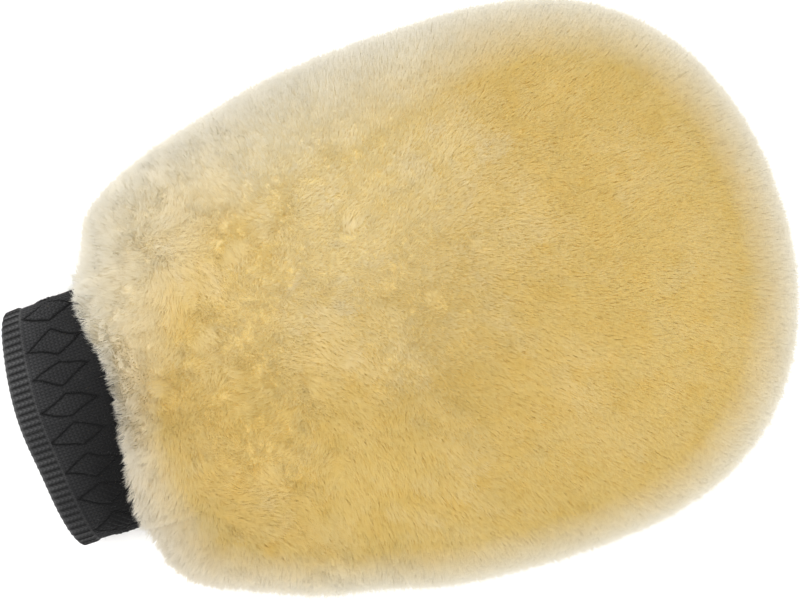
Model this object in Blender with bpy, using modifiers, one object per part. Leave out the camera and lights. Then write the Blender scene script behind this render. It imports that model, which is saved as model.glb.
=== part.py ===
"""Sheepskin wash mitt with an elasticated knitted cuff.

Metres, +Z up.  The mitt lies palm down on z = 0, the cuff's rim towards -X and the
fingertip end towards +X.  The origin is below the middle of the object's box.
"""

import math

import bmesh
import bpy
from mathutils import Vector

COLLECTION_NAME = "sheepskin_wash_mitt"
CUTTER_COLLECTION_NAME = "cutters"

GAP = 0.0003

# Whole mitt
MITT_LENGTH = 0.290
RIM_X = -MITT_LENGTH / 2
TIP_X = MITT_LENGTH / 2

# Wool: plan outline, and heights above the surface that the mitt lies on
WOOL_LENGTH = 0.262
WOOL_HALF_WIDTH = 0.1017
WOOL_HEEL_X = TIP_X - WOOL_LENGTH
PARTING_Z = 0.0180
CROWN_Z = 0.0530
FAN_OUT = 0.0180

# Both panels share one outline shape: two superellipse halves that meet at the widest point
WIDEST_FRACTION = 0.56
HEEL_POWER = 1.6
HEEL_ROOT = 4.4
TIP_POWER = 2.85
TIP_ROOT = 2.1

# The cuff is sewn on a little to one side, so the heel end of the midline is offset
CUFF_OFFSET_Y = 0.0046
MIDLINE_BEND_X = (-0.110, -0.020)

# Pile profiles, from the middle (0) to the outline (1)
CROWN_POWER = 2.6
SOLE_POWER = 5.0
SOLE_OVERSHOOT = 1.06
PILE_ROOT_GAP = 0.0008

# Hides
HIDE_THICKNESS = 0.0015
HIDE_LOW_X = -0.105
HIDE_HIGH_X = TIP_X - FAN_OUT
HIDE_HALF_WIDTH = WOOL_HALF_WIDTH - FAN_OUT
MOUTH_X = -0.098
POCKET_HEIGHT = 0.0100
POCKET_FULL_X = -0.020
MOUTH_ARCH_POWER = 5.0
PALM_ARCH_POWER = 2.2
ARCH_BLEND_X = (-0.098, -0.040)

# Cuff: a flattened tube whose section is an oval of two wide and two tight arcs
CUFF_LENGTH = 0.0447
CUFF_HALF_HEIGHT = 0.0100
CUFF_END_RADIUS = 0.0075
CUFF_RIM_HALF_WIDTH = 0.0442
CUFF_WRIST_HALF_WIDTH = 0.0454
CUFF_Z = PARTING_Z - GAP + POCKET_HEIGHT / 2
RIM_BOW = 0.0060
KNIT_THICKNESS = 0.0018
ELASTIC_THICKNESS = 0.0008
CUFF_WALL = 2 * KNIT_THICKNESS + ELASTIC_THICKNESS + 2 * GAP
WELT_LENGTH = 0.0090
WELT_EDGE_RADIUS = 0.0018
ELASTIC_START = 0.0120
ELASTIC_END = 0.0400
JOIN_SEAM_DEPTHS = (0.0005, 0.0045)
CUFF_CLEARANCE = 0.0006
WIDE_ARC_POINTS = 14
TIGHT_ARC_POINTS = 8

# Where the cuff passes between the two panels, their outline lifts clear of it
LIFT_HALF_WIDTHS = (0.047, 0.066)
LIFT_X = (-0.108, -0.020)
BACK_LIFT = CUFF_Z + CUFF_HALF_HEIGHT + 2 * CUFF_CLEARANCE - PARTING_Z
PALM_DROP = PARTING_Z - (CUFF_Z - CUFF_HALF_HEIGHT - 2 * CUFF_CLEARANCE)

# Seam threads
PERIMETER_SEAM_RADIUS = 0.0014
PERIMETER_SEAM_POINTS = 72
SIDE_SEAM_RADIUS = 0.0010
SIDE_SEAM_POINTS = 6

# Mesh resolution
WOOL_SEGMENTS = 60
WOOL_RINGS = 24
HIDE_SEGMENTS = 48
HIDE_RINGS = 18


# ---------------------------------------------------------------- helpers


def smoothstep(low, high, value):
    t = min(1.0, max(0.0, (value - low) / (high - low)))
    return t * t * (3.0 - 2.0 * t)


def midline(x):
    """Sideways position of the mitt's middle at x."""
    return CUFF_OFFSET_Y * (1.0 - smoothstep(*MIDLINE_BEND_X, x))


def half_width(x, low_x, high_x, widest):
    """Half of a panel's plan width at x."""
    widest_x = low_x + WIDEST_FRACTION * (high_x - low_x)
    if x < widest_x:
        t, power, root = (widest_x - x) / (widest_x - low_x), HEEL_POWER, HEEL_ROOT
    else:
        t, power, root = (x - widest_x) / (high_x - widest_x), TIP_POWER, TIP_ROOT
    return widest * max(0.0, 1.0 - min(t, 1.0) ** power) ** (1.0 / root)


def panel_point(direction, low_x, high_x, widest):
    """Plan point for a unit-disc direction: the disc's rim becomes the panel's outline."""
    reach = min(1.0, math.hypot(direction.x, direction.y))
    middle_x = (low_x + high_x) / 2
    if reach < 1e-6:
        return middle_x, midline(middle_x), 0.0
    edge_x = middle_x + (high_x - low_x) / 2 * direction.x / reach
    edge_y = math.copysign(half_width(edge_x, low_x, high_x, widest), direction.y)
    if abs(direction.y) < 1e-6:
        edge_y = 0.0
    x = middle_x + reach * (edge_x - middle_x)
    return x, midline(x) + reach * edge_y, reach


def new_object(name, mesh, collection, material=None):
    obj = bpy.data.objects.new(name, mesh)
    collection.objects.link(obj)
    if material is not None:
        mesh.materials.append(material)
    return obj


def mesh_from(bm, name, smooth_angle=40.0):
    mesh = bpy.data.meshes.new(name)
    bm.to_mesh(mesh)
    bm.free()
    mesh.shade_smooth()
    mesh.set_sharp_from_angle(angle=math.radians(smooth_angle))
    return mesh


def shaped_sphere(segments, rings, place):
    """Closed soft solid: a sphere whose every point is moved by place()."""
    bm = bmesh.new()
    bmesh.ops.create_uvsphere(bm, u_segments=segments, v_segments=rings, radius=1.0)
    for vert in bm.verts:
        vert.co = place(vert.co.copy())
    return bm


def trim_below(bm, low_x):
    """Cuts a closed solid straight across at low_x and closes the cut with a flat face."""
    geometry = bm.verts[:] + bm.edges[:] + bm.faces[:]
    cut = bmesh.ops.bisect_plane(
        bm, geom=geometry, plane_co=(low_x, 0, 0), plane_no=(-1, 0, 0), clear_outer=True
    )
    outline = [item for item in cut["geom_cut"] if isinstance(item, bmesh.types.BMEdge)]
    bmesh.ops.edgeloop_fill(bm, edges=outline)
    bmesh.ops.recalc_face_normals(bm, faces=bm.faces)


def subtract(obj, cutter):
    cut = obj.modifiers.new("cut", "BOOLEAN")
    cut.operation = "DIFFERENCE"
    cut.solver = "EXACT"
    cut.object = cutter


def thread_curve(name, points, radius, collection, material):
    """Round thread through the given points, with closed ends."""
    curve = bpy.data.curves.new(name, "CURVE")
    curve.dimensions = "3D"
    curve.bevel_depth = radius
    curve.bevel_resolution = 2
    curve.use_fill_caps = True
    spline = curve.splines.new("POLY")
    spline.points.add(len(points) - 1)
    for target, point in zip(spline.points, points):
        target.co = (*point, 1.0)
    obj = bpy.data.objects.new(name, curve)
    collection.objects.link(obj)
    curve.materials.append(material)
    return obj


# ---------------------------------------------------------------- materials


def make_material(name, colour, roughness, metallic=0.0):
    material = bpy.data.materials.new(name)
    material.use_nodes = True
    shader = material.node_tree.nodes["Principled BSDF"]
    shader.inputs["Base Color"].default_value = (*colour, 1.0)
    shader.inputs["Roughness"].default_value = roughness
    shader.inputs["Metallic"].default_value = metallic
    material.diffuse_color = (*colour, 1.0)
    return material


# ---------------------------------------------------------------- hides


def pocket_height(x, y):
    """Height of the hand pocket: an arch across the mitt that closes at the fingertip end."""
    width = half_width(x, HIDE_LOW_X, HIDE_HIGH_X, HIDE_HALF_WIDTH)
    across = abs(y - midline(x)) / max(width, 1e-6)
    power = MOUTH_ARCH_POWER + (PALM_ARCH_POWER - MOUTH_ARCH_POWER) * smoothstep(*ARCH_BLEND_X, x)
    arch = max(0.0, 1.0 - across ** power)
    along = max(0.0, (x - POCKET_FULL_X) / (HIDE_HIGH_X - POCKET_FULL_X))
    return POCKET_HEIGHT * arch * max(0.0, 1.0 - along * along)


def hide_height(x, y, side, faces_up):
    """Height of a hide's face; the back hide arches over the pocket, the palm hide is flat."""
    if side == "back":
        low = PARTING_Z + pocket_height(x, y)
    else:
        low = PARTING_Z - GAP - HIDE_THICKNESS
    return low + (HIDE_THICKNESS if faces_up else 0.0)


def make_hide(name, side, material, collection):
    def place(direction):
        x, y, _ = panel_point(direction, HIDE_LOW_X, HIDE_HIGH_X, HIDE_HALF_WIDTH)
        if abs(direction.z) < 1e-5:
            z = hide_height(x, y, side, False) + HIDE_THICKNESS / 2
        else:
            z = hide_height(x, y, side, direction.z > 0)
        return Vector((x, y, z))

    bm = shaped_sphere(HIDE_SEGMENTS, HIDE_RINGS, place)
    trim_below(bm, MOUTH_X)
    return new_object(name, mesh_from(bm, name), collection, material)


# ---------------------------------------------------------------- wool


def cuff_lift(x, y):
    """1 over the cuff, falling to 0 beside it and further along the mitt."""
    beside = 1.0 - smoothstep(*LIFT_HALF_WIDTHS, abs(y - midline(x)))
    return beside * (1.0 - smoothstep(*LIFT_X, x))


def seam_allowance(x, y):
    """1 over the hides and their seam thread, falling to 0 at the mitt's outline."""
    width = half_width(x, HIDE_LOW_X, HIDE_HIGH_X, HIDE_HALF_WIDTH)
    beyond_side = abs(y - midline(x)) - width
    beyond_tip = x - HIDE_HIGH_X
    beyond = max(beyond_side, beyond_tip) if width > 0.02 else beyond_tip
    return 1.0 - smoothstep(2.5 * PERIMETER_SEAM_RADIUS, FAN_OUT, beyond)


def make_back_wool(material, collection, cuff_cutter):
    def place(direction):
        x, y, reach = panel_point(direction, WOOL_HEEL_X, TIP_X, WOOL_HALF_WIDTH)
        edge = PARTING_Z + GAP / 2 + BACK_LIFT * cuff_lift(x, y)
        if direction.z > 1e-5:
            z = edge + (CROWN_Z - edge) * math.sqrt(1.0 - reach ** CROWN_POWER)
        elif direction.z < -1e-5:
            over_hide = hide_height(x, y, "back", True) + PILE_ROOT_GAP - PARTING_Z
            z = PARTING_Z + GAP / 2 + over_hide * seam_allowance(x, y)
        else:
            z = edge
        return Vector((x, y, z))

    bm = shaped_sphere(WOOL_SEGMENTS, WOOL_RINGS, place)
    wool = new_object("back_wool", mesh_from(bm, "back_wool"), collection, material)
    subtract(wool, cuff_cutter)
    return wool


def make_palm_wool(material, collection, cuff_cutter):
    def place(direction):
        x, y, reach = panel_point(direction, WOOL_HEEL_X, TIP_X, WOOL_HALF_WIDTH)
        edge = PARTING_Z - GAP / 2 - PALM_DROP * cuff_lift(x, y)
        if direction.z < -1e-5:
            press = SOLE_OVERSHOOT * math.sqrt(1.0 - reach ** SOLE_POWER)
            z = max(0.0, edge * (1.0 - press))
        elif direction.z > 1e-5:
            under_hide = PARTING_Z - hide_height(x, y, "palm", False) + PILE_ROOT_GAP
            z = PARTING_Z - GAP / 2 - under_hide * seam_allowance(x, y)
        else:
            z = edge
        return Vector((x, y, z))

    bm = shaped_sphere(WOOL_SEGMENTS, WOOL_RINGS, place)
    wool = new_object("palm_wool", mesh_from(bm, "palm_wool"), collection, material)
    subtract(wool, cuff_cutter)
    return wool


# ---------------------------------------------------------------- cuff


def oval_section(width, depth):
    """Section of the cuff tube as (y, z) points, moved inwards by depth.

    The two wide arcs are centred above and below, the two tight arcs at the sides,
    and each pair meets where their tangents agree.
    """
    tight_y = width - CUFF_END_RADIUS
    height = CUFF_HALF_HEIGHT
    wide_radius = (tight_y ** 2 + height ** 2 - CUFF_END_RADIUS ** 2) / (
        2 * (height - CUFF_END_RADIUS)
    )
    meet = math.asin(tight_y / (wide_radius - CUFF_END_RADIUS))
    points = []
    for side in (1, -1):
        for i in range(WIDE_ARC_POINTS):
            angle = side * math.pi / 2 + meet * (1 - 2 * i / WIDE_ARC_POINTS) * -1
            centre_z = -side * (wide_radius - height)
            points.append(
                (
                    (wide_radius - depth) * math.cos(angle),
                    centre_z + (wide_radius - depth) * math.sin(angle),
                )
            )
        for i in range(TIGHT_ARC_POINTS):
            sweep = math.pi - 2 * meet
            angle = side * math.pi / 2 + meet + sweep * i / TIGHT_ARC_POINTS
            points.append(
                (
                    -side * tight_y + (CUFF_END_RADIUS - depth) * math.cos(angle),
                    (CUFF_END_RADIUS - depth) * math.sin(angle),
                )
            )
    return points


def cuff_width(distance):
    """Half-width of the cuff at a distance from its rim."""
    t = min(1.0, distance / CUFF_LENGTH)
    return CUFF_RIM_HALF_WIDTH + (CUFF_WRIST_HALF_WIDTH - CUFF_RIM_HALF_WIDTH) * t


def cuff_point(distance, section_index, depth):
    """Point on the cuff's wall; the rim is bowed, and the bow fades out along the cuff."""
    width = cuff_width(distance)
    outer_y, _ = oval_section(width, 0.0)[section_index]
    y, z = oval_section(width, depth)[section_index]
    bow = RIM_BOW * (outer_y / width) ** 2 * (1.0 - distance / CUFF_LENGTH)
    return Vector((RIM_X + distance + bow, CUFF_OFFSET_Y + y, CUFF_Z + z))


def cuff_tube(name, start, end, depth, cuts=1, capped=False, place=cuff_point):
    """Tube along the cuff from a cylinder whose rings take the oval section."""
    count = 2 * (WIDE_ARC_POINTS + TIGHT_ARC_POINTS)
    bm = bmesh.new()
    bmesh.ops.create_cone(
        bm, cap_ends=capped, segments=count, radius1=1.0, radius2=1.0, depth=1.0
    )
    lengthwise = [e for e in bm.edges if abs(e.verts[0].co.z - e.verts[1].co.z) > 0.5]
    bmesh.ops.subdivide_edges(bm, edges=lengthwise, cuts=cuts)
    for vert in bm.verts:
        turn = math.atan2(vert.co.y, vert.co.x) / (2 * math.pi)
        index = round(turn * count) % count
        distance = start + (end - start) * (vert.co.z + 0.5)
        vert.co = place(distance, index, depth)
    return mesh_from(bm, name)


def thicken(obj, thickness):
    """Adds thickness on the inner side of a tube."""
    wall = obj.modifiers.new("wall", "SOLIDIFY")
    wall.thickness = thickness
    wall.offset = -1.0
    return wall


def make_layer(name, start, end, depth, thickness, material, collection):
    mesh = cuff_tube(name, start, end, depth)
    layer = new_object(name, mesh, collection, material)
    thicken(layer, thickness)
    return layer


def make_rib_welt(material, collection):
    """Folded rib band along the rim: the full thickness of the wall, with rounded edges."""
    welt = make_layer(
        "cuff_rib_welt", 0.0, WELT_LENGTH, 0.0, CUFF_WALL, material, collection
    )
    rounding = welt.modifiers.new("rounding", "BEVEL")
    rounding.width = WELT_EDGE_RADIUS
    rounding.segments = 3
    rounding.limit_method = "ANGLE"
    rounding.angle_limit = math.radians(60)
    return welt


def make_cuff_layers(knit, lining_knit, elastic, collection):
    start = WELT_LENGTH + GAP
    elastic_depth = KNIT_THICKNESS + GAP
    inner_depth = elastic_depth + ELASTIC_THICKNESS + GAP
    make_layer("cuff_outer_knit", start, CUFF_LENGTH, 0.0, KNIT_THICKNESS, knit, collection)
    make_layer(
        "cuff_elastic", ELASTIC_START, ELASTIC_END, elastic_depth, ELASTIC_THICKNESS,
        elastic, collection,
    )
    make_layer(
        "cuff_inner_knit", start, CUFF_LENGTH, inner_depth, KNIT_THICKNESS,
        lining_knit, collection,
    )


def make_join_seam(material, collection):
    """Overlocked seam that joins the cuff to the hides' mouth edge."""
    start = CUFF_LENGTH + GAP
    end = MOUTH_X - GAP - RIM_X
    depth, inner_depth = JOIN_SEAM_DEPTHS

    def place(distance, index, wall_depth):
        y, z = oval_section(CUFF_WRIST_HALF_WIDTH, wall_depth)[index]
        return Vector((RIM_X + distance, CUFF_OFFSET_Y + y, CUFF_Z + z))

    mesh = cuff_tube("cuff_join_seam", start, end, depth, place=place)
    seam = new_object("cuff_join_seam", mesh, collection, material)
    thicken(seam, inner_depth - depth)
    return seam


def make_side_seam(material, collection):
    """Seam that closes the knitted tube, inside the cuff at its -Y end."""
    start = WELT_LENGTH + 4 * GAP
    end = CUFF_LENGTH - 4 * GAP
    inset = CUFF_WALL + GAP + SIDE_SEAM_RADIUS
    points = []
    for i in range(SIDE_SEAM_POINTS):
        distance = start + (end - start) * i / (SIDE_SEAM_POINTS - 1)
        bow = RIM_BOW * (1.0 - distance / CUFF_LENGTH)
        y = CUFF_OFFSET_Y - cuff_width(distance) + inset
        points.append((RIM_X + distance + bow, y, CUFF_Z))
    return thread_curve("cuff_side_seam", points, SIDE_SEAM_RADIUS, collection, material)


# ---------------------------------------------------------------- perimeter seam


def make_perimeter_seam(material, collection):
    """Seam thread round the hides' joined edge, from one corner of the mouth to the other."""
    stand_off = PERIMETER_SEAM_RADIUS + GAP
    middle_x = (HIDE_LOW_X + HIDE_HIGH_X) / 2
    reach_x = HIDE_HIGH_X - middle_x + stand_off
    start = math.acos((MOUTH_X + 2 * GAP - middle_x) / reach_x)
    z = PARTING_Z - GAP / 2
    low_x = HIDE_LOW_X - stand_off
    high_x = HIDE_HIGH_X + stand_off
    points = []
    for i in range(PERIMETER_SEAM_POINTS + 1):
        angle = start - 2 * start * i / PERIMETER_SEAM_POINTS
        x = middle_x + reach_x * math.cos(angle)
        width = half_width(x, low_x, high_x, HIDE_HALF_WIDTH + stand_off)
        points.append((x, midline(x) + math.copysign(width, math.sin(angle)), z))
    return thread_curve(
        "perimeter_seam", points, PERIMETER_SEAM_RADIUS, collection, material
    )


# ---------------------------------------------------------------- cutters


def hide_from_view(obj):
    obj.hide_render = True
    obj.display_type = "WIRE"
    return obj


def make_cuff_cutter(collection):
    """Oval block a little larger than the cuff: the way it takes through the wool."""

    def place(distance, index, depth):
        y, z = oval_section(CUFF_WRIST_HALF_WIDTH, depth)[index]
        return Vector((RIM_X + distance, CUFF_OFFSET_Y + y, CUFF_Z + z))

    end = MOUTH_X - RIM_X + GAP
    mesh = cuff_tube("cuff_cutter", -0.01, end, -CUFF_CLEARANCE, capped=True,
                     place=place)
    return hide_from_view(new_object("cuff_cutter", mesh, collection))


# ---------------------------------------------------------------- assembly


def clear_scene():
    for obj in list(bpy.data.objects):
        bpy.data.objects.remove(obj, do_unlink=True)


def new_collection(name):
    collection = bpy.data.collections.new(name)
    bpy.context.scene.collection.children.link(collection)
    return collection


def main():
    clear_scene()
    parts = new_collection(COLLECTION_NAME)
    cutters = new_collection(CUTTER_COLLECTION_NAME)

    back_wool = make_material("back_wool_pile", (0.70, 0.52, 0.24), 0.95)
    palm_wool = make_material("palm_wool_pile", (0.68, 0.50, 0.23), 0.95)
    suede = make_material("suede_hide", (0.60, 0.42, 0.24), 0.9)
    palm_suede = make_material("palm_suede_hide", (0.58, 0.40, 0.22), 0.9)
    rib = make_material("charcoal_rib", (0.035, 0.035, 0.037), 0.9)
    knit = make_material("charcoal_knit", (0.030, 0.030, 0.032), 0.9)
    lining_knit = make_material("charcoal_lining_knit", (0.025, 0.025, 0.027), 0.92)
    elastic = make_material("black_elastic", (0.015, 0.015, 0.015), 0.6)
    cuff_thread = make_material("black_thread", (0.02, 0.02, 0.02), 0.55)
    join_thread = make_material("black_overlock_thread", (0.022, 0.022, 0.022), 0.6)
    hide_thread = make_material("cream_thread", (0.66, 0.58, 0.42), 0.6)

    cuff_cutter = make_cuff_cutter(cutters)

    make_back_wool(back_wool, parts, cuff_cutter)
    make_palm_wool(palm_wool, parts, cuff_cutter)
    make_hide("back_hide", "back", suede, parts)
    make_hide("palm_hide", "palm", palm_suede, parts)
    make_perimeter_seam(hide_thread, parts)

    make_rib_welt(rib, parts)
    make_cuff_layers(knit, lining_knit, elastic, parts)
    make_join_seam(join_thread, parts)
    make_side_seam(cuff_thread, parts)


main()
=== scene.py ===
"""Looks of the sheepskin wash mitt: wool fibres, skins, knitted cuff, seams, light and camera.

Everything is in metres in the frame of the CAD model.  The mitt lies palm down, its cuff
towards -X.  Sizes and places come from the boxes of the CAD nodes.
"""

import math

import bpy
import numpy as np
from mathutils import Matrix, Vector
from mathutils.kdtree import KDTree


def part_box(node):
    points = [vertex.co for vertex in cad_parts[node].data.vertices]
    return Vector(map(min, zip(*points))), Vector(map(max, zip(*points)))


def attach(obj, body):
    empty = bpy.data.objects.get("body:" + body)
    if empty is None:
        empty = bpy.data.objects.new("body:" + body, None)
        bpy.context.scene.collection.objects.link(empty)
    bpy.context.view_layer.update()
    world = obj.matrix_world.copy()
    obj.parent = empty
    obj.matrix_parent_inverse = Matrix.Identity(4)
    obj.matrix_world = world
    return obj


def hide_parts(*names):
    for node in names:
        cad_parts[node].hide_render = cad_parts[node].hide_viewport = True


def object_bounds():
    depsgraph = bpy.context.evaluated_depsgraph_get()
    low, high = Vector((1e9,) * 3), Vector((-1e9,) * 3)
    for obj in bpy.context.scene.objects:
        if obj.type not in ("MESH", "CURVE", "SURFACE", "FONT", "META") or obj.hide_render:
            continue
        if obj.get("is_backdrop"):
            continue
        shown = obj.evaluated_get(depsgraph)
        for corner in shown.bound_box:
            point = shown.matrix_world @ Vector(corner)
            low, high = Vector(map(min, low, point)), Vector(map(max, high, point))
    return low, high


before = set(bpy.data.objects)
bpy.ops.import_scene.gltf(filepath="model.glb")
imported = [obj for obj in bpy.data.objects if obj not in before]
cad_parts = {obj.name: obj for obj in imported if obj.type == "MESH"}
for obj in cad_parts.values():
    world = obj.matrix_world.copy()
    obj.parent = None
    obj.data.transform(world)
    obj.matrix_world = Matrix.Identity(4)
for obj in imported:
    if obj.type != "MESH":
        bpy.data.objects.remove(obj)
CAD_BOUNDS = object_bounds()

MM = 0.001
SEED = 20

# Sizes taken from the frame
BACK_LOW, BACK_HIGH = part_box("back_wool")
HIDE_LOW, HIDE_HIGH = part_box("back_hide")
KNIT_LOW, KNIT_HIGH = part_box("cuff_outer_knit")
WELT_LOW, WELT_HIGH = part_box("cuff_rib_welt")
WOOL_HEEL_X = BACK_LOW.x
WOOL_TIP_X = BACK_HIGH.x
WOOL_HALF_WIDTH = (BACK_HIGH.y - BACK_LOW.y) / 2
CROWN_Z = BACK_HIGH.z
PARTING_Z = (BACK_LOW.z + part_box("palm_wool")[1].z) / 2
HIDE_TIP_X = HIDE_HIGH.x
HIDE_MOUTH_X = HIDE_LOW.x
HIDE_HALF_WIDTH = (HIDE_HIGH.y - HIDE_LOW.y) / 2
FLAT_HIDE_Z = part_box("palm_hide")[0].z
CUFF_Y = (KNIT_LOW.y + KNIT_HIGH.y) / 2
CUFF_Z = (KNIT_LOW.z + KNIT_HIGH.z) / 2
CUFF_HALF_HEIGHT = (KNIT_HIGH.z - KNIT_LOW.z) / 2
CUFF_WRIST_HALF_WIDTH = (KNIT_HIGH.y - KNIT_LOW.y) / 2
RIM_X = WELT_LOW.x
CUFF_LENGTH = KNIT_HIGH.x - RIM_X

# Outline shared by the pile and the skins: two superellipse halves that meet at the widest
# place.  The skins' outline is cut off by the mouth, MOUTH_CUT past its own heel.
WIDEST_FRACTION = 0.56
HEEL_POWER = 1.6
HEEL_ROOT = 4.4
TIP_POWER = 2.85
TIP_ROOT = 2.1
MOUTH_CUT = 7 * MM
HIDE_HEEL_X = HIDE_MOUTH_X - MOUTH_CUT
MIDLINE_BEND_X = (-110 * MM, -20 * MM)
WOOL_PLAN = (WOOL_HEEL_X, WOOL_TIP_X, WOOL_HALF_WIDTH)
HIDE_PLAN = (HIDE_HEEL_X, HIDE_TIP_X, HIDE_HALF_WIDTH)

# Pile: how full each face is, how it lifts over the cuff, and the hollow of its heel
CROWN_POWER = 2.6
SOLE_POWER = 5.0
SOLE_OVERSHOOT = 1.06
LIFT_X = (-108 * MM, -20 * MM)
LIFT_HALF_WIDTHS = (38 * MM, 64 * MM)
LIFT_BLEND_X = (-104 * MM, -86 * MM)
CUFF_MARGIN = 1.2 * MM
HEEL_RECESS = 9.0 * MM
HEEL_RECESS_Y = (14 * MM, 36 * MM)
HEEL_RECESS_REACH = 28 * MM
ROOTS_BEND_REACH = 0.55

# Bulges of the wool's outline: direction and spread in degrees, share of the way out
BULGES = ((105, 15, 0.023), (208, 10, 0.033), (160, 8, -0.028), (246, 8, -0.021))

# Wool: tousled in long streaks up to the first TOUSLED_X, short even plush from the second.
# A pair marked "plush, tousled" holds the amounts on each.
BACK_FIBRES = 330_000
PALM_FIBRES = 90_000
FIBRES_PER_PIECE = 38_000
TOUSLED_X = (-75 * MM, 25 * MM)
FIBRE_LENGTH = (5.0 * MM, 8.5 * MM)  # plush, tousled
FIBRE_DEPTH = 4.6 * MM
FIBRE_WIDTH = 0.23 * MM
WIDTH_SPREAD = (0.6, 1.25)
OUTLINE_THINNING = 0.3
FLOOR_GAP = 0.25 * MM
UNDERCOAT_DEPTH = 3.1 * MM
UNDERCOAT_UNEVEN = 0.15 * MM
STATIONS = (0.0, 0.45, 0.78, 1.0)
STATION_WIDTHS = (1.0, 0.95, 0.65, 0.0)
TWIST = 0.3
BEND_HEIGHT = 0.75 * FIBRE_DEPTH
BEND_REACH = 0.35
HOOK_START = 0.4
HOOK_SIZE = (0.05 * MM, 0.6 * MM)

# Tufts: fibres near one centre lean, rise and are toned alike, and their tips close up
BIG_TUFT_AREA = 30 * MM * MM
SMALL_TUFT_AREA = 2.6 * MM * MM
TUFT_WOBBLE = 0.8 * MM
SMALL_WOBBLE_SHARE = 0.25
BIG_TUFT_CLOSING = 0.08
SMALL_TUFT_CLOSING = (0.10, 0.35)  # inside, in the pale outline
BIG_TUFT_TONE = 0.13
SMALL_TUFT_TONE = 0.06
FIBRE_TONE = 0.04

# Lean, in shares of a fibre's length
MEAN_LEAN = (0.27, -0.23)
DROOP = 0.60
SWIRL_LEAN = (0.07, 0.22)  # plush, tousled
SWIRL_SIZE = 58 * MM
RIPPLE_LEAN = 0.05
RIPPLE_SIZE = 15 * MM
OUTLINE_CALMING = 0.6
PALM_LEAN = 2.0
BIG_TUFT_LEAN = (0.03, 0.10)  # plush, tousled
SMALL_TUFT_LEAN = (0.03, 0.06)  # plush, tousled
FIBRE_LEAN = 0.10

# Height of the tips over the pile's surface
BIG_TUFT_HEIGHT = 0.14 * MM
SMALL_TUFT_HEIGHT = 0.09 * MM
FIBRE_HEIGHT = 0.22 * MM
STRAY_SHARE = 0.012
STRAY_HEIGHT = (0.6 * MM, 2.2 * MM)
FRINGE = 0.5 * MM
LONGEST_FRINGE = 4.0
HEEL_LOCKS = 2.6 * MM
HEEL_LOCKS_REACH = 14 * MM
HEEL_LOCKS_FALL = (0.75, 0.95)

# Shading: fibres are lit as the pile's surface is, the pale outline as if it faced up more
FACING_SHARE = 0.10
OUTLINE_UPWARD = (0.6, 0.8)
OUTLINE_UPWARD_X = (-50 * MM, 80 * MM)

# Colour by place: the pale outline with painted glow, a painted highlight on the middle with
# deeper gold round it (tint and painted shade), a gold patch, painted shade by the cuff
# The pale band: partly paler wool, partly painted glow where light passes through the edge
PALE_START = 0.84
PALE_WIDENING = 0.27
PALE_HEEL_SHARE = 0.35
PALE_HEEL_LENGTH = 30 * MM
CORNER_SLOPE = 0.35
CORNER_Y = (10 * MM, 85 * MM)
CORNER_REACH = 140 * MM
# The painted highlight: the wool is lightest about this middle, and a deeper, darker gold farther
# out
HIGHLIGHT_MIDDLE = (-12 * MM, 50 * MM)
HIGHLIGHT_REACH = (15 * MM, 95 * MM)
GOLD_RIPPLE = 0.10
GOLD_RIPPLE_SIZE = 40 * MM
HEEL_GOLD = (0.7, 1.0)
HEEL_GOLD_X = (-110 * MM, -50 * MM)
GOLD_PATCH = (-46 * MM, 37 * MM, 14 * MM, 0.3)  # x, y, radius, depth
# Painted shade: the wool on the heel slope by the cuff, towards -Y, is darkened over this span
HEEL_SHADE_X = (-110 * MM, -45 * MM)
HEEL_SHADE_Y = (0.0, 45 * MM)

# Cuff: a flattened tube, its oval section drawn by two wide and two tight arcs
CUFF_END_RADIUS = 7.5 * MM
CUFF_RIM_HALF_WIDTH = (WELT_HIGH.y - WELT_LOW.y) / 2 - 0.24 * MM
RIM_BOW = 6.0 * MM
RIM_SET_BACK = 0.8 * MM
RIM_DENT = (-15 * MM, 15 * MM, 1.2 * MM)
WELT_LENGTH = 9.0 * MM
KNIT_THICKNESS = 1.8 * MM
KNIT_GAP = 0.1 * MM
CUFF_WALL = 5.0 * MM
RIBS = 78
RIB_STEPS = 10
RIB_HEIGHT = 0.85 * MM
RIB_FADE = 1.0 * MM
WALES = 156
WALE_STEPS = 5
LINING_WALE_STEPS = 4
WALE_HEIGHT = 0.10 * MM
COURSE_LENGTH = 1.6 * MM
DIAMONDS = 17
DIAMOND_MIDDLE = 20.5 * MM
DIAMOND_HALF_LENGTH = 10.8 * MM
DIAMOND_HALF_WIDTH = 4.3 * MM
DIAMOND_HEIGHT = 0.45 * MM
DIAMOND_EDGE = 0.8 * MM
MOSS_HEIGHT = 0.26 * MM
GROOVE_DEPTH = 0.45 * MM
GROOVE_HALF_WIDTH = 0.48 * MM
LINT_FIBRES = 5_000
LINT_LENGTH = (0.6 * MM, 1.9 * MM)
LINT_WIDTH = 0.06 * MM
LINT_CURL = 0.4
LINT_SPREAD = 0.9
LINT_STAND = 0.3

# Hides: suede skins, the back one arched over the hand pocket
HIDE_THICKNESS = 1.5 * MM
POCKET_HEIGHT = HIDE_HIGH.z - HIDE_LOW.z - HIDE_THICKNESS
POCKET_FULL_X = -20 * MM
ARCH_POWERS = (5.0, 2.2)
ARCH_BLEND_X = (-98 * MM, -40 * MM)
CREASE_HEIGHT = 0.22 * MM
STITCH_PITCH = 2.8 * MM
THREAD_RADIUS = 0.22 * MM

# Partings on the back: middle x and y in mm, direction in degrees, length in mm
PARTINGS = (
    (-49, 41, 32, 10), (-69, 16, 26, 9), (-70, 32, -70, 9), (-62, -36, 20, 7),
    (-84, -27, 5, 7), (-38, -42, 65, 8), (-90, 5, 80, 6), (-36, -12, 40, 6),
    (12, 5, 25, 6), (-6, 38, -30, 6), (33, 17, 50, 5),
)
PARTING_REACH = 4.5 * MM
PARTING_FADE = (-2 * MM, 2 * MM)
PARTING_LEAN = 0.8


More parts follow.
